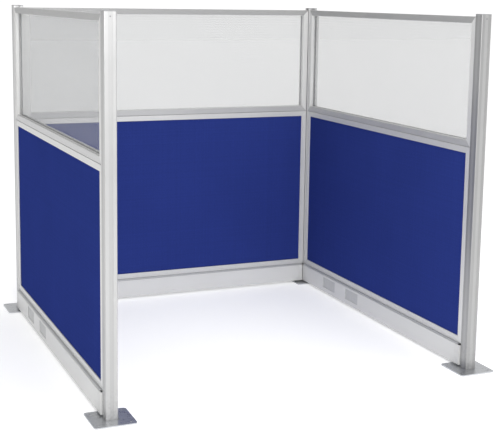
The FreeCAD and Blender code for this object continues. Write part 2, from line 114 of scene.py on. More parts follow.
class Value:
    """A number in a node tree. Python operators on it add the Math nodes."""

    def __init__(self, graph: "Graph", socket: bpy.types.NodeSocket) -> None:
        """Wraps one socket of one graph."""
        self.graph = graph
        self.socket = socket

    def math(self, operation: str, *terms: object) -> "Value":
        """Adds one Math node.

        Args:
            operation: the Math node's operation.
            terms: its inputs in order, each a Value or a number.

        Returns:
            The node's result.
        """
        node = self.graph.add("ShaderNodeMath", {"operation": operation}, dict(enumerate(terms)))
        return Value(self.graph, node.outputs[0])

    def __add__(self, other: object) -> "Value":
        """self + other."""
        return self.math("ADD", self, other)

    def __radd__(self, other: object) -> "Value":
        """other + self."""
        return self.math("ADD", other, self)

    def __sub__(self, other: object) -> "Value":
        """self - other."""
        return self.math("SUBTRACT", self, other)

    def __rsub__(self, other: object) -> "Value":
        """other - self."""
        return self.math("SUBTRACT", other, self)

    def __mul__(self, other: object) -> "Value":
        """self * other."""
        return self.math("MULTIPLY", self, other)

    def __rmul__(self, other: object) -> "Value":
        """other * self."""
        return self.math("MULTIPLY", other, self)

    def __truediv__(self, other: object) -> "Value":
        """self / other."""
        return self.math("DIVIDE", self, other)

    def __rtruediv__(self, other: object) -> "Value":
        """other / self."""
        return self.math("DIVIDE", other, self)

    def __pow__(self, other: object) -> "Value":
        """self to a power."""
        return self.math("POWER", self, other)

    def __abs__(self) -> "Value":
        """The size of self."""
        return self.math("ABSOLUTE", self)

    def floor(self) -> "Value":
        """The whole number below self."""
        return self.math("FLOOR", self)

    def sine(self) -> "Value":
        """The sine of self, in radians."""
        return self.math("SINE", self)

    def sign(self) -> "Value":
        """-1, 0 or 1, as self is below, at or above 0."""
        return self.math("SIGN", self)

    def least(self, other: object) -> "Value":
        """The smaller of self and other."""
        return self.math("MINIMUM", self, other)

    def most(self, other: object) -> "Value":
        """The larger of self and other."""
        return self.math("MAXIMUM", self, other)

    def ramp(self, low: float, high: float) -> "Value":
        """A mask that eases from 0 at low to 1 at high.

        Args:
            low: the value that gives 0.
            high: the value that gives 1. It may be below low.

        Returns:
            The mask.
        """
        settings = {"interpolation_type": "SMOOTHSTEP"}
        inputs = {0: self, 1: min(low, high), 2: max(low, high)}
        mask = self.graph.number(self.graph.add("ShaderNodeMapRange", settings, inputs))
        return 1.0 - mask if high < low else mask


class Graph:
    """A node tree under construction, for a material or for geometry."""

    def __init__(self, tree: bpy.types.NodeTree) -> None:
        """Starts on one tree."""
        self.tree = tree

    def add(
        self,
        kind: str,
        settings: dict[str, object] | None = None,
        inputs: dict[str | int, object] | None = None,
    ) -> bpy.types.Node:
        """Adds any node.

        Args:
            kind: the node's type.
            settings: its properties, set before its sockets.
            inputs: by socket name or number, a Value, a socket, or a plain value.

        Returns:
            The node.
        """
        node = self.tree.nodes.new(kind)
        for name, value in (settings or {}).items():
            setattr(node, name, value)
        for name, value in (inputs or {}).items():
            self._feed(node.inputs[name], value)
        return node

    def _feed(self, socket: bpy.types.NodeSocket, value: object) -> None:
        """Links or sets one input socket."""
        if isinstance(value, Value):
            value = value.socket
        if isinstance(value, bpy.types.NodeSocket):
            self.tree.links.new(value, socket)
        elif value is not None:
            socket.default_value = value

    def number(self, node: bpy.types.Node, output: str | int = 0) -> Value:
        """One output of a node as a Value."""
        return Value(self, node.outputs[output])


class Paint(Graph):
    """A material's tree, with the patterns that the finishes share."""

    def __init__(self, name: str) -> None:
        """Makes the material and its one shader."""
        self.material = bpy.data.materials.new(name)
        self.material.use_nodes = True
        super().__init__(self.material.node_tree)
        self.tree.nodes.clear()
        self.shader = self.add("ShaderNodeBsdfPrincipled")
        self.add("ShaderNodeOutputMaterial", None, {"Surface": self.shader.outputs[0]})
        self.place = self.add("ShaderNodeTexCoord").outputs["Object"]
        parts = self.add("ShaderNodeSeparateXYZ", None, {0: self.place})
        self.x = self.number(parts, 0)
        self.y = self.number(parts, 1)
        self.z = self.number(parts, 2)

    def noise(self, scale: float | Colour, detail: float = 2.0, soft: float = 0.5) -> Value:
        """A noise pattern in metres.

        Args:
            scale: grains per metre, one number or one for each axis.
            detail: how many finer layers it has.
            soft: how strong the finer layers are.

        Returns:
            The noise, about 0.5.
        """
        steps = (scale,) * 3 if isinstance(scale, (int, float)) else tuple(scale)
        mapped = self.add("ShaderNodeMapping", None, {"Vector": self.place, "Scale": steps})
        node = self.add(
            "ShaderNodeTexNoise",
            None,
            {"Vector": mapped.outputs[0], "Scale": 1.0, "Detail": detail, "Roughness": soft},
        )
        return self.number(node, 0)

    def lines(self, run: Run, across: float, along: float, detail: float = 2.0) -> Value:
        """Noise drawn out into lines along a part.

        Args:
            run: the way the lines run.
            across: lines per metre.
            along: breaks per metre.
            detail: how many finer layers it has.

        Returns:
            The pattern, about 0.5.
        """
        steps = tuple(along if part else across for part in run.value)
        return self.noise(steps, detail)

    def blend(self, factor: object, low: Colour, high: object) -> bpy.types.NodeSocket:
        """Mixes two colours.

        Args:
            factor: 0 gives low, 1 gives high.
            low: a colour or a colour socket.
            high: a colour or a colour socket.

        Returns:
            The mixed colour.
        """
        ends = [(*end, 1.0) if isinstance(end, tuple) else end for end in (low, high)]
        node = self.add(
            "ShaderNodeMix",
            {"data_type": "RGBA", "clamp_factor": True},
            {0: factor, 6: ends[0], 7: ends[1]},
        )
        return node.outputs[2]

    def relief(self, height: Value, depth: float, strength: float = 1.0) -> bpy.types.NodeSocket:
        """Turns a height pattern into a surface relief.

        Args:
            height: the pattern, 0 to 1.
            depth: its height in metres.
            strength: how strongly it shows.

        Returns:
            The normal for the shader.
        """
        node = self.add(
            "ShaderNodeBump", None, {"Height": height, "Distance": depth, "Strength": strength}
        )
        return node.outputs[0]

    def finish(self, changing: dict[str, object], fixed: dict[str, object]) -> bpy.types.Material:
        """Feeds the shader.

        Args:
            changing: shader inputs that change over the surface.
            fixed: shader inputs that are the same all over.

        Returns:
            The material.
        """
        for name, value in {**changing, **fixed}.items():
            self._feed(self.shader.inputs[name], value)
        return self.material


def tint(red: float, green: float, blue: float) -> Colour:
    """A linear colour from everyday 0 to 255 values.

    Args:
        red: 0 to 255.
        green: 0 to 255.
        blue: 0 to 255.

    Returns:
        The linear colour.
    """
    parts = []
    for part in (red, green, blue):
        level = part / 255.0
        parts.append(level / 12.92 if level <= 0.04045 else ((level + 0.055) / 1.055) ** 2.4)
    return (parts[0], parts[1], parts[2])


def lifted(colour: Colour, lift: float) -> Colour:
    """The same colour, lighter or darker."""
    return (min(1.0, colour[0] * lift), min(1.0, colour[1] * lift), min(1.0, colour[2] * lift))


# ---------------------------------------------------------------------------------------------------
# Finishes
# ---------------------------------------------------------------------------------------------------


@dataclass(frozen=True)
class Finish:
    """What every finish has: its name and its main colour."""

    name: str
    colour: Colour

    def make(self) -> bpy.types.Material:
        """Makes the material."""
        raise NotImplementedError


@dataclass(frozen=True)
class DrawnAluminium(Finish):
    """Satin anodised extrusion, with die lines along its length and handling wear near the floor.

    crest_lift changes the tone of what lies less than crest_depth below the windows' top.
    """

    run: Run = Run.UPRIGHT
    roughness: float = 0.4
    metallic: float = 0.3
    line_depth: float = 0.00006
    wear_height: float = 0.22
    crest_depth: float = 0.036
    crest_edge: float = 0.002
    crest_lift: float = 1.0

    def make(self) -> bpy.types.Material:
        """Die lines, slow clouding of the anodising, fine scratches and a worn, dusty foot."""
        paint = Paint(self.name)
        die = paint.lines(self.run, 850.0, 1.3)
        broad = paint.lines(self.run, 95.0, 0.5, 1.0)
        cloud = paint.noise(5.5, 3.0)
        grain = paint.noise(2600.0, 1.0)
        scratch = paint.lines(self.run, 300.0, 22.0, 3.0).ramp(0.66, 0.74)
        foot = paint.z.ramp(self.wear_height, 0.0) * paint.noise(70.0, 4.0, 0.6).ramp(0.46, 0.66)
        shade = die * 0.35 + broad * 0.25 + cloud * 0.4
        body = paint.blend(shade, lifted(self.colour, 0.86), lifted(self.colour, 1.1))
        if self.crest_lift != 1.0:
            crest_from = WINDOW_TOP - self.crest_depth
            crest = paint.z.ramp(crest_from, crest_from + self.crest_edge)
            body = paint.blend(crest, body, lifted(self.colour, self.crest_lift))
        scored = paint.blend(scratch * 0.35, body, lifted(self.colour, 1.25))
        worn = paint.blend(foot * 0.3, scored, lifted(self.colour, 0.6))
        rough = self.roughness + (cloud - 0.5) * 0.14 + (die - 0.5) * 0.12 + foot * 0.12
        height = die * 0.6 + grain * 0.25 + scratch * -0.3
        return paint.finish(
            {"Base Color": worn, "Roughness": rough, "Normal": paint.relief(height, self.line_depth, 0.7)},
            {"Metallic": self.metallic, "IOR": 1.5, "Anisotropic": 0.3},
        )


@dataclass(frozen=True)
class PowderCoat(Finish):
    """Baked powder paint: faint orange peel, slow drift of tone, shoe scuffs near the floor."""

    roughness: float = 0.42
    peel: float = 520.0
    scuff_height: float = 0.07

    def make(self) -> bpy.types.Material:
        """Orange peel, tone drift, rubbed edges and dark shoe marks."""
        paint = Paint(self.name)
        peel = paint.noise(self.peel, 2.0)
        cloud = paint.noise(3.2, 3.0)
        speck = paint.noise(1500.0, 1.0).ramp(0.62, 0.8)
        low = paint.z.ramp(self.scuff_height, 0.015)
        marks = paint.noise((9.0, 9.0, 130.0), 4.0, 0.62).ramp(0.6, 0.72) * low
        dust = low * paint.noise(24.0, 4.0, 0.6)
        tone = cloud * 0.7 + peel * 0.3
        body = paint.blend(tone, lifted(self.colour, 0.93), lifted(self.colour, 1.06))
        flecked = paint.blend(speck * 0.12, body, lifted(self.colour, 0.72))
        dusty = paint.blend(dust * 0.16, flecked, lifted(self.colour, 0.66))
        marked = paint.blend(marks * 0.35, dusty, lifted(self.colour, 0.35))
        rough = self.roughness + (cloud - 0.5) * 0.1 + marks * 0.15 + dust * 0.12
        return paint.finish(
            {"Base Color": marked, "Roughness": rough, "Normal": paint.relief(peel, 0.00009, 0.5)},
            {"Metallic": 0.0, "IOR": 1.5},
        )


@dataclass(frozen=True)
class Moulded(Finish):
    """Moulded or extruded plastic and rubber: a spark-eroded grain and slow drift of gloss."""

    roughness: float = 0.5
    grain: float = 900.0
    grain_depth: float = 0.00008
    bloom: float = 0.1

    def make(self) -> bpy.types.Material:
        """Grain, gloss drift and a pale bloom in patches."""
        paint = Paint(self.name)
        grain = paint.noise(self.grain, 2.0, 0.6)
        flow = paint.noise((14.0, 14.0, 5.0), 3.0)
        bloom = paint.noise(60.0, 4.0, 0.6).ramp(0.5, 0.75)
        tone = grain * 0.45 + flow * 0.55
        body = paint.blend(tone, lifted(self.colour, 0.86), lifted(self.colour, 1.12))
        paled = paint.blend(bloom * self.bloom, body, lifted(self.colour, 1.5))
        rough = self.roughness + (flow - 0.5) * 0.16 + (grain - 0.5) * 0.1
        return paint.finish(
            {"Base Color": paled, "Roughness": rough, "Normal": paint.relief(grain, self.grain_depth, 0.6)},
            {"Metallic": 0.0, "IOR": 1.48},
        )


@dataclass(frozen=True)
class BrushedPlate(Finish):
    """Brushed steel foot plate: short strokes one way, darker round where the post stands, lighter along
    the edges.
    """

    darkening_reach: float = 0.016
    border_from: float = 0.006
    border_full: float = 0.001
    roughness: float = 0.3

    def make(self) -> bpy.types.Material:
        """Brush strokes, clouding, a darker band round the post's foot and a lighter band along the edge.
        """
        paint = Paint(self.name)
        stroke = paint.noise((9.0, 1100.0, 1100.0), 3.0, 0.6)
        stain = paint.noise(38.0, 4.0, 0.6)
        cloud = paint.noise(11.0, 2.0)
        from_post = abs(abs(paint.x) - POST_CENTRE).most(abs(abs(paint.y) - POST_CENTRE))
        foot_darkening = from_post.ramp(POST_HALF + self.darkening_reach, POST_HALF) * stain.ramp(0.3, 0.62)
        border = from_post.ramp(PLATE_HALF - self.border_from, PLATE_HALF - self.border_full)
        tone = stroke * 0.5 + cloud * 0.3 + stain * 0.2
        body = paint.blend(tone, lifted(self.colour, 0.74), lifted(self.colour, 1.24))
        edge_lifted = paint.blend(border * 0.4, body, lifted(self.colour, 1.35))
        darkened = paint.blend(foot_darkening * 0.5, edge_lifted, lifted(self.colour, 0.35))
        rough = self.roughness + (stroke - 0.5) * 0.22 + foot_darkening * 0.25 + (stain - 0.5) * 0.12
        return paint.finish(
            {"Base Color": darkened, "Roughness": rough, "Normal": paint.relief(stroke, 0.00005, 0.8)},
            {"Metallic": 0.8, "Anisotropic": 0.3},
        )


@dataclass(frozen=True)
class PlatedSteel(Finish):
    """Zinc-plated screws and bolts: mottled, slightly milky."""

    roughness: float = 0.34

    def make(self) -> bpy.types.Material:
        """Crystal mottling, turning marks and a milky film."""
        paint = Paint(self.name)
        mottle = paint.noise(420.0, 3.0, 0.6)
        film = paint.noise(90.0, 2.0)
        tone = mottle * 0.6 + film * 0.4
        body = paint.blend(tone, lifted(self.colour, 0.7), lifted(self.colour, 1.25))
        rough = self.roughness + (mottle - 0.5) * 0.25 + (film - 0.5) * 0.1
        return paint.finish(
            {"Base Color": body, "Roughness": rough, "Normal": paint.relief(mottle, 0.00004, 0.7)},
            {"Metallic": 1.0},
        )


@dataclass(frozen=True)
class FibreBoard(Finish):
    """The pinnable board behind the cloth: pressed fibres and flecks."""

    def make(self) -> bpy.types.Material:
        """Long fibres, flecks and a rough face."""
        paint = Paint(self.name)
        fibre = paint.noise((70.0, 70.0, 480.0), 4.0, 0.65)
        fleck = paint.noise(360.0, 3.0).ramp(0.6, 0.72)
        body = paint.blend(fibre, lifted(self.colour, 0.72), lifted(self.colour, 1.2))
        flecked = paint.blend(fleck * 0.5, body, lifted(self.colour, 0.4))
        return paint.finish(
            {
                "Base Color": flecked,
                "Roughness": 0.86 + (fibre - 0.5) * 0.15,
                "Normal": paint.relief(fibre, 0.0003, 0.8),
            },
            {"Metallic": 0.0},
        )


@dataclass(frozen=True)
class TwinWallSheet(Finish):
    """Frosted twin-wall glazing: pale, half see-through, with level flutes.

    see_through is for the whole sheet, whose two skins have four faces. The ribs between the skins
    are rib_share as dense.
    """

    see_through: float = 0.58
    skins_crossed: int = 4
    flute_pitch: float = 0.016
    skin_depth: float = 0.0012
    skin_edge: float = 0.0006
    rib_share: float = 0.3
    roughness: float = 0.3

    def make(self) -> bpy.types.Material:
        """Flutes as soft level bands, drawing lines along them, faint clouding and fine dust."""
        paint = Paint(self.name)
        band = ((paint.z * (2.0 * math.pi / self.flute_pitch)).sine() + 1.0) * 0.5
        drawn = paint.noise((2.2, 2.2, 420.0), 2.0)
        cloud = paint.noise(3.5, 3.0)
        dust = paint.noise(900.0, 2.0).ramp(0.6, 0.8)
        tone = band * 0.3 + drawn * 0.4 + cloud * 0.3
        body = paint.blend(tone, lifted(self.colour, 0.94), lifted(self.colour, 1.06))
        dusty = paint.blend(dust * 0.15, body, lifted(self.colour, 0.88))
        rough = self.roughness + (cloud - 0.5) * 0.12 + dust * 0.1
        height = band * 0.7 + drawn * 0.3
        skin = 1.0 - self.see_through ** (1.0 / self.skins_crossed)
        core_half = PANE_HALF - self.skin_depth
        from_middle = abs(abs(paint.x) - POST_CENTRE).least(abs(paint.y - POST_CENTRE))
        on_skin = from_middle.ramp(core_half - self.skin_edge, core_half)
        alpha = skin * self.rib_share + on_skin * (skin * (1.0 - self.rib_share))
        made = paint.finish(
            {
                "Base Color": dusty,
                "Roughness": rough,
                "Alpha": alpha,
                "Normal": paint.relief(height, 0.00003, 0.3),
            },
            {"Metallic": 0.0, "IOR": 1.3},
        )
        made.surface_render_method = "DITHERED"
        return made


@dataclass(frozen=True)
class PanelCloth(Finish):
    """Flat woven panel cloth: a plain weave of slightly uneven yarns with a soft bloom."""

    yarn: float = 0.0017
    weave_depth: float = 0.00045

    def make(self) -> bpy.types.Material:
        """The weave's ups and downs, painted shade in its hollows, yarn by yarn shade, melange flecks and
        slow tone drift.
        """
        paint = Paint(self.name)
        waver = (paint.noise(120.0, 1.0) - 0.5) * (self.yarn * 0.5)
        warp = (paint.x + paint.y + waver) / self.yarn
        weft = (paint.z + waver) / self.yarn
        warp_number = warp.floor()
        weft_number = weft.floor()
        half = (warp_number + weft_number) * 0.5
        over = (half - half.floor()) * 2.0
        warp_arch = abs((warp * math.pi).sine())
        weft_arch = abs((weft * math.pi).sine())
        height = over * warp_arch + (1.0 - over) * weft_arch
        warp_shade = self._yarn_shade(paint, warp_number, 3.0)
        weft_shade = self._yarn_shade(paint, weft_number, 71.0)
        shade = over * warp_shade + (1.0 - over) * weft_shade
        fleck = paint.noise((230.0, 230.0, 90.0), 3.0, 0.6)
        slub = paint.noise((420.0, 420.0, 16.0), 2.0).ramp(0.62, 0.78)
        drift = paint.noise(2.6, 3.0)
        # height in the tone is painted shade: yarn crests lighter, the hollows between yarns darker.
        tone = shade * 0.22 + height * 0.3 + fleck * 0.26 + drift * 0.22
        body = paint.blend(tone, lifted(self.colour, 0.62), lifted(self.colour, 1.4))
        slubbed = paint.blend(slub * 0.25, body, lifted(self.colour, 1.75))
        rough = 0.84 + (fleck - 0.5) * 0.14 + height * 0.06
        relief = paint.relief(height * 0.8 + fleck * 0.2, self.weave_depth, 0.6)
        return paint.finish(
            {"Base Color": slubbed, "Roughness": rough, "Normal": relief},
            {"Metallic": 0.0, "Specular IOR Level": 0.0},
        )

    def _yarn_shade(self, paint: Paint, number: Value, start: float) -> Value:
        """A steady random shade for each yarn, from its number."""
        node = paint.add("ShaderNodeTexWhiteNoise", {"noise_dimensions": "1D"}, {"W": number + start})
        return paint.number(node, "Value")


@dataclass(frozen=True)
class FloorFinish(Finish):
    """A plain pale studio floor, lit from within like a light table."""

    glow: float = 0.26

    def make(self) -> bpy.types.Material:
        """A matt floor with the faintest mottling."""
        paint = Paint(self.name)
        cloud = paint.noise(1.2, 3.0)
        body = paint.blend(cloud, lifted(self.colour, 0.985), self.colour)
        return paint.finish(
            {"Base Color": body},
            {
                "Roughness": 0.9,
                "Metallic": 0.0,
                "Specular IOR Level": 0.1,
                "Emission Color": (1.0, 1.0, 1.0, 1.0),
                "Emission Strength": self.glow,
            },
        )


SILVER = tint(183, 183, 183)
FRAME_SILVER = tint(206, 206, 205)
WINDOW_SILVER = tint(190, 190, 190)
MILL_SILVER = tint(190, 191, 192)
COVER_GREY = tint(214, 214, 213)
CLOTH_BLUE = tint(42, 56, 124)


class Finishes:
    """Makes each finish once and hands it out by name."""

    def __init__(self) -> None:
        """Starts with none made."""
        self.made: dict[str, bpy.types.Material] = {}

    def get(self, finish: Finish) -> bpy.types.Material:
        """The material for a finish, made on first use.

        Args:
            finish: the finish asked for.

        Returns:
            Its material.
        """
        if finish.name not in self.made:
            self.made[finish.name] = finish.make()
        return self.made[finish.name]

    def dress(self, node: str, finish: Finish) -> None:
        """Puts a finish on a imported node.

        Args:
            node: the node's name.
            finish: what it gets.
        """
        material = self.get(finish)
        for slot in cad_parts[node].material_slots:
            slot.material = material
        LOG.info("%s: %s", node, finish.name)


# ---------------------------------------------------------------------------------------------------
# Geometry by rule
# ---------------------------------------------------------------------------------------------------


class Shape(Graph):
    """A geometry tree with named inputs, run on one object and kept as a plain mesh."""

    def __init__(self, name: str, inputs: dict[str, tuple[str, object]]) -> None:
        """Makes the tree and its sockets.

        Args:
            name: the tree's name.
            inputs: for each input, its socket type and its value.
        """
        tree = bpy.data.node_groups.new(name, "GeometryNodeTree")
        super().__init__(tree)
        self.values: dict[str, object] = {}
        self.sockets: dict[str, str] = {}
        geometry = "NodeSocketGeometry"
        tree.interface.new_socket("Geometry", in_out="INPUT", socket_type=geometry)
        tree.interface.new_socket("Geometry", in_out="OUTPUT", socket_type=geometry)
        for label, (kind, value) in inputs.items():
            socket = tree.interface.new_socket(label, in_out="INPUT", socket_type=kind)
            self.sockets[label] = socket.identifier
            self.values[label] = value
        self.source = self.add("NodeGroupInput")
        self.sink = self.add("NodeGroupOutput")

    def input(self, label: str) -> Value:
        """One named input as a Value."""
        return self.number(self.source, label)

    def close(self, geometry: bpy.types.NodeSocket) -> None:
        """Ends the tree with Realize Instances and Set Material.

        Args:
            geometry: what the tree has made.
        """
        real = self.add("GeometryNodeRealizeInstances", None, {0: geometry})
        dressed = self.add(
            "GeometryNodeSetMaterial",
            None,
            {"Geometry": real.outputs[0], "Material": self.source.outputs["Finish"]},
        )
        self.tree.links.new(dressed.outputs[0], self.sink.inputs[0])

    def run(self, name: str, start: bpy.types.Mesh | None = None) -> bpy.types.Object:
        """Runs the tree and keeps the result as a plain mesh.

        Args:
            name: the new piece's name.
            start: a mesh that the tree starts from.

        Returns:
            The piece, with no modifier left on it.
        """
        piece = bpy.data.objects.new(name, start or bpy.data.meshes.new(name))
        bpy.context.scene.collection.objects.link(piece)
        modifier = piece.modifiers.new("rule", "NODES")
        modifier.node_group = self.tree
        for label, value in self.values.items():
            modifier[self.sockets[label]] = value
        graph = bpy.context.evaluated_depsgraph_get()
        made = bpy.data.meshes.new_from_object(piece.evaluated_get(graph), depsgraph=graph)
        made.name = name
        piece.modifiers.remove(modifier)
        piece.data = made
        return piece


def shade_smooth(mesh: bpy.types.Mesh) -> None:
    """Shades every face of a mesh smooth."""
    mesh.polygons.foreach_set("use_smooth", [True] * len(mesh.polygons))
    mesh.update()


# ---------------------------------------------------------------------------------------------------
# Sub-assemblies
# ---------------------------------------------------------------------------------------------------


@dataclass
class Posts:
    """Four square posts with caps, slot strips and the screws that hold the caps on.

    tones are painted light and shade: each post's silver is lifted or darkened for how the light falls on
    it.
    The screw's rim_share is of the head's height; its shoulder_share and mouth_share are of the face before
    them.
    """

    painted_light_lifts: dict[str, float] = field(
        default_factory=lambda: {
            "front_left": 1.0,
            "front_right": 0.78,
            "back_left": 1.25,
            "back_right": 1.3,
        }
    )
    screw_drop: float = 0.021
    screw_sides: int = 18
    screw_radius: float = 0.003
    screw_head: float = 0.0009
    rim_share: float = 0.3
    shoulder_share: float = 0.8
    lip: float = 0.00001
    mouth_share: float = 0.6
    socket_depth: float = 0.0007
    post_metal: float = 0.55
    strip_finish: Finish = DrawnAluminium(
        "satin_strip_aluminium", lifted(SILVER, 0.9), roughness=0.4, metallic=0.5
    )
    cap_finish: Finish = Moulded("grey_cap_plastic", tint(150, 151, 153), roughness=0.45)
    screw_finish: Finish = PlatedSteel("dark_cap_screw", tint(120, 121, 124))

    def dress(self, finishes: Finishes) -> None:
        """Puts the finishes on the posts, strips and caps.

        Args:
            finishes: where the materials come from.
        """
        # Painted light and shade: one silver made lighter or darker post by post for how the lamps fall on
        # each post.
        for corner, tone in self.painted_light_lifts.items():
            metal = DrawnAluminium(
                f"satin_{corner}_post", lifted(SILVER, tone), roughness=0.34, metallic=self.post_metal
            )
            finishes.dress(f"{corner}_post", metal)
        finishes.dress("post_trim_strips", self.strip_finish)
        finishes.dress("post_caps", self.cap_finish)

    def build(self, finishes: Finishes) -> bpy.types.Object:
        """Makes the cap screws by a rule: one socket-head screw at each marked place.

        Args:
            finishes: where the screws' finish comes from.

        Returns:
            The four screws as one piece.
        """
        marks = bpy.data.meshes.new("cap_screw_marks")
        height = POST_HIGH.z - self.screw_drop
        places = [(sx * POST_CENTRE, sy * STRIP_FACE, height) for sx in (-1, 1) for sy in (-1, 1)]
        marks.from_pydata(places, [], [])
        shape = Shape(
            "cap_screw_rule",
            {
                "Radius": ("NodeSocketFloat", self.screw_radius),
                "Head": ("NodeSocketFloat", self.screw_head),
                "Socket Depth": ("NodeSocketFloat", self.socket_depth),
                "Finish": ("NodeSocketMaterial", finishes.get(self.screw_finish)),
            },
        )
        shape.close(self._screws(shape))
        piece = shape.run("cap_screws", marks)
        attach(piece, "frame")
        LOG.info("cap_screws: %d faces", len(piece.data.polygons))
        return piece

    def _screws(self, shape: Shape) -> bpy.types.NodeSocket:
        """The screw head, its socket, and its copies turned to face out of each post.

        Args:
            shape: the tree they are made in.

        Returns:
            The placed screws.
        """
        head = shape.add(
            "GeometryNodeMeshCylinder",
            {"fill_type": "NGON"},
            {
                "Vertices": self.screw_sides,
                "Radius": shape.input("Radius"),
                "Depth": shape.input("Head") * 2.0,
            },
        )
        rim = shape.add(
            "GeometryNodeExtrudeMesh",
            {"mode": "FACES"},
            {
                "Mesh": head.outputs["Mesh"],
                "Selection": head.outputs["Top"],
                "Offset Scale": shape.input("Head") * self.rim_share,
            },
        )
        shoulder = shape.add(
            "GeometryNodeScaleElements",
            {"domain": "FACE"},
            {
                "Geometry": rim.outputs["Mesh"],
                "Selection": rim.outputs["Top"],
                "Scale": self.shoulder_share,
            },
        )
        lip = shape.add(
            "GeometryNodeExtrudeMesh",
            {"mode": "FACES"},
            {
                "Mesh": shoulder.outputs[0],
                "Selection": rim.outputs["Top"],
                "Offset Scale": self.lip,
            },
        )
        mouth = shape.add(
            "GeometryNodeScaleElements",
            {"domain": "FACE"},
            {
                "Geometry": lip.outputs["Mesh"],
                "Selection": lip.outputs["Top"],
                "Scale": self.mouth_share,
            },
        )
        socket = shape.add(
            "GeometryNodeExtrudeMesh",
            {"mode": "FACES"},
            {
                "Mesh": mouth.outputs[0],
                "Selection": lip.outputs["Top"],
                "Offset Scale": 0.0 - shape.input("Socket Depth"),
            },
        )
        place = shape.add("GeometryNodeInputPosition")
        parts = shape.add("ShaderNodeSeparateXYZ", None, {0: place.outputs[0]})
        outward = shape.number(parts, 1).sign()
        turn = shape.add("ShaderNodeCombineXYZ", None, {0: outward * (-0.5 * math.pi)})
        placed = shape.add(
            "GeometryNodeInstanceOnPoints",
            None,
            {
                "Points": shape.source.outputs["Geometry"],
                "Instance": socket.outputs["Mesh"],
                "Rotation": turn.outputs[0],
            },
        )
        return placed.outputs[0]


@dataclass
class Feet:
    """Four square foot plates with the bolt and plug that hold each post on."""

    plate_finish: Finish = BrushedPlate("brushed_foot_steel", tint(186, 188, 191))
    bolt_finish: Finish = PlatedSteel("plated_bolt_steel", tint(168, 169, 172))
    plug_finish: Finish = Moulded("foot_plug_alloy", tint(140, 141, 143), roughness=0.55)

    def dress(self, finishes: Finishes) -> None:
        """Puts the finishes on the plates, bolts and plugs.

        Args:
            finishes: where the materials come from.
        """
        finishes.dress("foot_plates", self.plate_finish)
        finishes.dress("foot_bolts", self.bolt_finish)
        finishes.dress("foot_plugs", self.plug_finish)


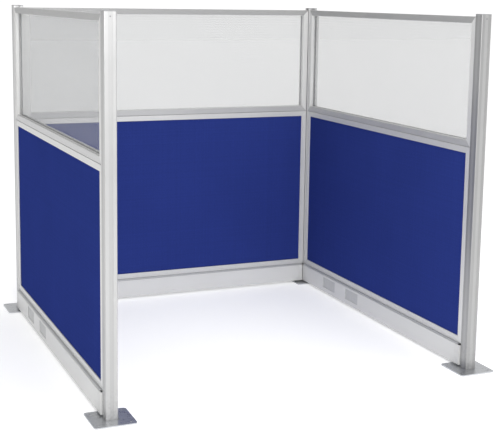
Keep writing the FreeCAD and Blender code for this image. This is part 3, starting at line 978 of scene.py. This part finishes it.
@dataclass
class Panel:
    """One panel: its two frames, its cloth-covered board and its twin-wall window.

    wrap would be the cloth turned in behind each edge; it is not used. painted_light_rail lifts the left
    panel's window rails by painted light.
    """

    side: Side
    cloth_thickness: float = 0.0009
    edge_clear: float = 0.0003
    crown: float = 0.0008
    edge_roll: float = 0.0006
    roll_width: float = 0.026
    ripple: float = 0.00012
    wrap: float = 0.025
    seed: float = 3.0
    seed_step: float = 7.0
    columns: int = 90
    rows: int = 64
    # Painted light: the left panel's window rails are lifted as if lit more brightly.
    painted_light_rail: float = 1.1
    crest_lift: float = 0.74
    cloth_finish: Finish = PanelCloth("woven_blue_cloth", CLOTH_BLUE)
    board_finish: Finish = FibreBoard("pressed_fibre_board", tint(188, 160, 120))
    window_finish: Finish = TwinWallSheet("frosted_twin_wall", tint(158, 160, 161))
    joint_finish: Finish = DrawnAluminium(
        "mill_joint_aluminium", MILL_SILVER, roughness=0.45, line_depth=0.00009
    )

    def dress(self, finishes: Finishes) -> None:
        """Puts the finishes on the panel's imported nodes.

        Args:
            finishes: where the materials come from.
        """
        name = self.side.value
        way = self.side.run.name.lower()
        # The stiles' silver is lifted by painted light, to offset the shade that falls on them in the
        # wall's inside corners.
        stile = DrawnAluminium("satin_stile_aluminium_painted_light", lifted(FRAME_SILVER, 1.15))
        rails = {
            "fabric_frame": DrawnAluminium(f"satin_rail_{way}", lifted(FRAME_SILVER, 1.08), self.side.run),
            "window": DrawnAluminium(
                f"satin_window_rail_{name}",
                self.window_silver_painted_light,
                self.side.run,
                crest_lift=self.crest_lift,
            ),
        }
        for module, rail in rails.items():
            finishes.dress(f"{name}_{module}_rails", rail)
            finishes.dress(f"{name}_{module}_stiles", stile)
        finishes.dress(f"{name}_core_board", self.board_finish)
        finishes.dress(f"{name}_window_pane", self.window_finish)
        finishes.dress(f"{name}_post_connectors", self.joint_finish)
        for face in Face:
            finishes.dress(f"{name}_fabric_{face.value}", self.cloth_finish)

    @property
    def window_silver_painted_light(self) -> Colour:
        """The window rails' tone, lighter on the left panel by painted light."""
        return lifted(WINDOW_SILVER, self.painted_light_rail) if self.side is Side.LEFT else WINDOW_SILVER

    def build(self, finishes: Finishes) -> list[bpy.types.Object]:
        """Makes the cloth faces, one for each side of the board.

        Args:
            finishes: where the cloth's finish comes from.

        Returns:
            The two pieces of cloth.
        """
        return [self._cloth(finishes, face) for face in Face]

    def _cloth(self, finishes: Finishes, face: Face) -> bpy.types.Object:
        """One cloth face, stretched over the board and rolled over at the board's edges.

        Args:
            finishes: where the cloth's finish comes from.
            face: the face it covers.

        Returns:
            The piece of cloth.
        """
        node = f"{self.side.value}_fabric_{face.value}"
        board = f"{self.side.value}_core_board"
        low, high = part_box(node)
        board_low, board_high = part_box(board)
        middle = (board_low + board_high) * 0.5
        outward = self._outward((low + high) * 0.5 - middle)
        width = (high.x - low.x if self.side is Side.BACK else high.y - low.y) - 2.0 * self.edge_clear
        height = high.z - low.z - 2.0 * self.edge_clear
        seed = self.seed + self.seed_step * list(Side).index(self.side) + list(Face).index(face)
        settings = {
            "Width": ("NodeSocketFloat", width),
            "Height": ("NodeSocketFloat", height),
            "Crown": ("NodeSocketFloat", self.crown),
            "Edge Roll": ("NodeSocketFloat", self.edge_roll),
            "Roll Width": ("NodeSocketFloat", self.roll_width),
            "Ripple": ("NodeSocketFloat", self.ripple),
            "Seed": ("NodeSocketFloat", seed),
            "Finish": ("NodeSocketMaterial", finishes.get(self.cloth_finish)),
        }
        shape = Shape(f"{node}_rule", settings)
        shape.close(self._stretched(shape))
        piece = shape.run(f"{self.side.value}_cloth_{face.value}")
        surface = abs((board_high - board_low).dot(outward)) * 0.5 + abs((high - low).dot(outward))
        up = Vector((0.0, 0.0, 1.0))
        turn = Matrix((up.cross(outward), up, outward)).transposed().to_4x4()
        piece.data.transform(Matrix.Translation(middle + outward * surface) @ turn)
        shade_smooth(piece.data)
        wall = piece.modifiers.new("cloth_thickness", "SOLIDIFY")
        wall.thickness = self.cloth_thickness
        wall.offset = -1.0
        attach(piece, "frame")
        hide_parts(node)
        LOG.info("%s: %.3f x %.3f m", piece.name, width, height)
        return piece

    def _outward(self, away: Vector) -> Vector:
        """The unit axis that a cloth face looks along.

        Args:
            away: the way from the board's middle to the cloth's.

        Returns:
            The axis.
        """
        if self.side is Side.BACK:
            return Vector((0.0, math.copysign(1.0, away.y), 0.0))
        return Vector((math.copysign(1.0, away.x), 0.0, 0.0))

    def _stretched(self, shape: Shape) -> bpy.types.NodeSocket:
        """A grid that crowns in the middle and rolls back at its edges, lying in XY and facing +Z.

        Args:
            shape: the tree it is made in.

        Returns:
            The cloth's face.
        """
        grid = shape.add(
            "GeometryNodeMeshGrid",
            None,
            {"Size X": 2.0, "Size Y": 2.0, "Vertices X": self.columns, "Vertices Y": self.rows},
        )
        place = shape.add("GeometryNodeInputPosition")
        parts = shape.add("ShaderNodeSeparateXYZ", None, {0: place.outputs[0]})
        across = (shape.number(parts, 0) * (0.5 * math.pi)).sine()
        up = (shape.number(parts, 1) * (0.5 * math.pi)).sine()
        x = across * shape.input("Width") * 0.5
        y = up * shape.input("Height") * 0.5
        crown = (1.0 - abs(across) ** 4.0) * (1.0 - abs(up) ** 4.0) * shape.input("Crown")
        inset_x = (1.0 - abs(across)) * shape.input("Width") * 0.5
        inset_y = (1.0 - abs(up)) * shape.input("Height") * 0.5
        near = (1.0 - inset_x.least(inset_y) / shape.input("Roll Width")).most(0.0)
        roll = near**2.0 * shape.input("Edge Roll")
        flat = shape.add("ShaderNodeCombineXYZ", None, {0: x, 1: y})
        wave = shape.add(
            "ShaderNodeTexNoise",
            {"noise_dimensions": "4D"},
            {"Vector": flat.outputs[0], "W": shape.input("Seed"), "Scale": 6.0, "Detail": 1.0},
        )
        ripple = (shape.number(wave, 0) - 0.5) * shape.input("Ripple")
        moved = shape.add("ShaderNodeCombineXYZ", None, {0: x, 1: y, 2: crown - roll + ripple})
        laid = shape.add(
            "GeometryNodeSetPosition",
            None,
            {"Geometry": grid.outputs["Mesh"], "Position": moved.outputs[0]},
        )
        return laid.outputs[0]


@dataclass
class Raceway:
    """The cable raceway under one panel: spine, end pieces, two tilting covers and outlet blanks."""

    side: Side
    cover_finish: Finish = PowderCoat("light_grey_cover_paint", COVER_GREY)
    end_finish: Finish = Moulded("light_grey_end_plastic", lifted(COVER_GREY, 0.96), roughness=0.46)
    blank_finish: Finish = Moulded("mid_grey_blank_plastic", tint(190, 191, 191), roughness=0.5)

    def dress(self, finishes: Finishes) -> None:
        """Puts the finishes on the raceway's nodes.

        Args:
            finishes: where the materials come from.
        """
        name = self.side.value
        spine = DrawnAluminium(
            f"mill_spine_{self.side.run.name.lower()}", MILL_SILVER, self.side.run, roughness=0.42
        )
        finishes.dress(f"{name}_raceway_spine", spine)
        finishes.dress(f"{name}_raceway_ends", self.end_finish)
        for face in Face:
            finishes.dress(f"{name}_raceway_cover_{face.value}", self.cover_finish)
            if self.side is not Side.BACK:
                finishes.dress(f"{name}_outlet_blanks_{face.value}", self.blank_finish)


@dataclass
class Joinery:
    """Small parts that all the panels share: corner keys, screws, glazing seals and joint strips."""

    key_finish: Finish = PlatedSteel("cast_key_alloy", tint(165, 166, 168), roughness=0.45)
    screw_finish: Finish = PlatedSteel("plated_screw_steel", tint(160, 161, 164))
    # The seals' near-white is painted light: it offsets the shade in the recess round the panes.
    seal_finish: Finish = Moulded("pale_glazing_seal_painted_light", tint(222, 222, 222), roughness=0.55, bloom=0.1)
    strip_finish: Finish = Moulded("dark_joint_strip", tint(132, 133, 134), roughness=0.66, bloom=0.2)

    def dress(self, finishes: Finishes) -> None:
        """Puts the finishes on the shared small parts.

        Args:
            finishes: where the materials come from.
        """
        finishes.dress("corner_keys", self.key_finish)
        finishes.dress("frame_screws", self.screw_finish)
        finishes.dress("window_seals", self.seal_finish)
        finishes.dress("module_strips", self.strip_finish)


# ---------------------------------------------------------------------------------------------------
# Studio
# ---------------------------------------------------------------------------------------------------


@dataclass
class Softbox:
    """One large soft light."""

    name: str
    place: tuple[float, float, float]
    target: tuple[float, float, float]
    size: tuple[float, float]
    power: float

    def build(self) -> bpy.types.Object:
        """Makes the light and turns it to its target.

        Returns:
            The light.
        """
        lamp = bpy.data.lights.new(self.name, "AREA")
        lamp.shape = "RECTANGLE"
        lamp.size = self.size[0]
        lamp.size_y = self.size[1]
        lamp.energy = self.power
        light = bpy.data.objects.new(self.name, lamp)
        bpy.context.scene.collection.objects.link(light)
        light.location = self.place
        aim = Vector(self.target) - Vector(self.place)
        light.rotation_euler = aim.to_track_quat("-Z", "Y").to_euler()
        return light


@dataclass
class Studio:
    """The floor, the room's light and the camera.

    The room's levels are what it lights with; seen_level is what the camera sees behind the object.
    clear_skins is how many clear faces a ray may pass, because the windows' ribs are many.
    """

    camera_place: tuple[float, float, float] = (-2.27, -5.54, 1.895)
    yaw: float = math.radians(-23.43)
    pitch: float = math.radians(8.78)
    roll: float = math.radians(0.86)
    lens: float = 78.9
    shift_x: float = -0.002
    shift_y: float = -0.1
    floor_half: float = 40.0
    sky_level: float = 0.88
    sky_rise: float = 0.75
    horizon_level: float = 0.66
    seen_level: float = 1.05
    right_lean: float = 0.25
    clear_skins: int = 48
    lights: list[Softbox] = field(
        default_factory=lambda: [
            Softbox("key_softbox", (-1.2, -4.9, 2.4), (0.4, 0.7, 0.7), (1.6, 1.8), 106.0),
            Softbox("top_softbox", (0.4, -0.6, 5.2), (0.0, 0.2, 0.0), (4.0, 4.0), 40.0),
        ]
    )
    floor_finish: Finish = FloorFinish("pale_floor", (0.98, 0.98, 0.98))

    def build(self, finishes: Finishes) -> None:
        """Makes the floor, the world, the lights and the camera.

        Args:
            finishes: where the materials come from.
        """
        self._floor(finishes)
        self._world()
        for softbox in self.lights:
            softbox.build()
        self._camera()
        scene = bpy.context.scene
        scene.view_settings.view_transform = "Standard"
        scene.cycles.transparent_max_bounces = self.clear_skins
        LOG.info("studio: %d lights", len(self.lights))

    def _floor(self, finishes: Finishes) -> None:
        """A large flat floor at the foot of the plates.

        Args:
            finishes: where the materials come from.
        """
        half = self.floor_half
        mesh = bpy.data.meshes.new("floor")
        corners = [(-half, -half, 0.0), (half, -half, 0.0), (half, half, 0.0), (-half, half, 0.0)]
        mesh.from_pydata(corners, [], [(0, 1, 2, 3)])
        mesh.materials.append(finishes.get(self.floor_finish))
        floor = bpy.data.objects.new("floor", mesh)
        bpy.context.scene.collection.objects.link(floor)

    def _world(self) -> None:
        """A pale room: bright overhead, dimmer at eye level, white where it is seen directly."""
        world = bpy.data.worlds.new("studio_room")
        world.use_nodes = True
        world.node_tree.nodes.clear()
        graph = Graph(world.node_tree)
        way = graph.add("ShaderNodeTexCoord").outputs["Generated"]
        parts = graph.add("ShaderNodeSeparateXYZ", None, {0: way})
        rise = graph.number(parts, 2).ramp(0.0, self.sky_rise)
        lean = 1.0 + graph.number(parts, 0) * self.right_lean
        level = (self.horizon_level + rise * (self.sky_level - self.horizon_level)) * lean
        seen = graph.number(graph.add("ShaderNodeLightPath"), "Is Camera Ray")
        strength = level * (1.0 - seen) + seen * self.seen_level
        white = (1.0, 1.0, 1.0, 1.0)
        room = graph.add("ShaderNodeBackground", None, {"Color": white, "Strength": strength})
        graph.add("ShaderNodeOutputWorld", None, {"Surface": room.outputs[0]})
        bpy.context.scene.world = world

    def _camera(self) -> None:
        """A long lens above the wall's top, left of the open side, tipped a little down."""
        lens = bpy.data.cameras.new("camera")
        lens.lens = self.lens
        lens.sensor_width = 36.0
        lens.shift_x = self.shift_x
        lens.shift_y = self.shift_y
        lens.clip_end = 200.0
        camera = bpy.data.objects.new("camera", lens)
        bpy.context.scene.collection.objects.link(camera)
        forward = Vector(
            (
                -math.sin(self.yaw) * math.cos(self.pitch),
                math.cos(self.yaw) * math.cos(self.pitch),
                -math.sin(self.pitch),
            )
        )
        level = Vector((math.cos(self.yaw), math.sin(self.yaw), 0.0))
        upright = level.cross(forward)
        right = level * math.cos(self.roll) + upright * math.sin(self.roll)
        up = upright * math.cos(self.roll) - level * math.sin(self.roll)
        turn = Matrix((right, up, -forward)).transposed().to_4x4()
        camera.matrix_world = Matrix.Translation(Vector(self.camera_place)) @ turn
        bpy.context.scene.camera = camera


def main() -> None:
    """Builds and dresses the partition wall, one sub-assembly after another."""
    logging.basicConfig(level=logging.INFO, format="%(name)s %(message)s", stream=sys.stdout)
    finishes = Finishes()
    Studio().build(finishes)
    posts = Posts()
    posts.dress(finishes)
    posts.build(finishes)
    Feet().dress(finishes)
    for side in Side:
        panel = Panel(side)
        panel.dress(finishes)
        panel.build(finishes)
        Raceway(side).dress(finishes)
    Joinery().dress(finishes)


if __name__ == "__main__":
    main()
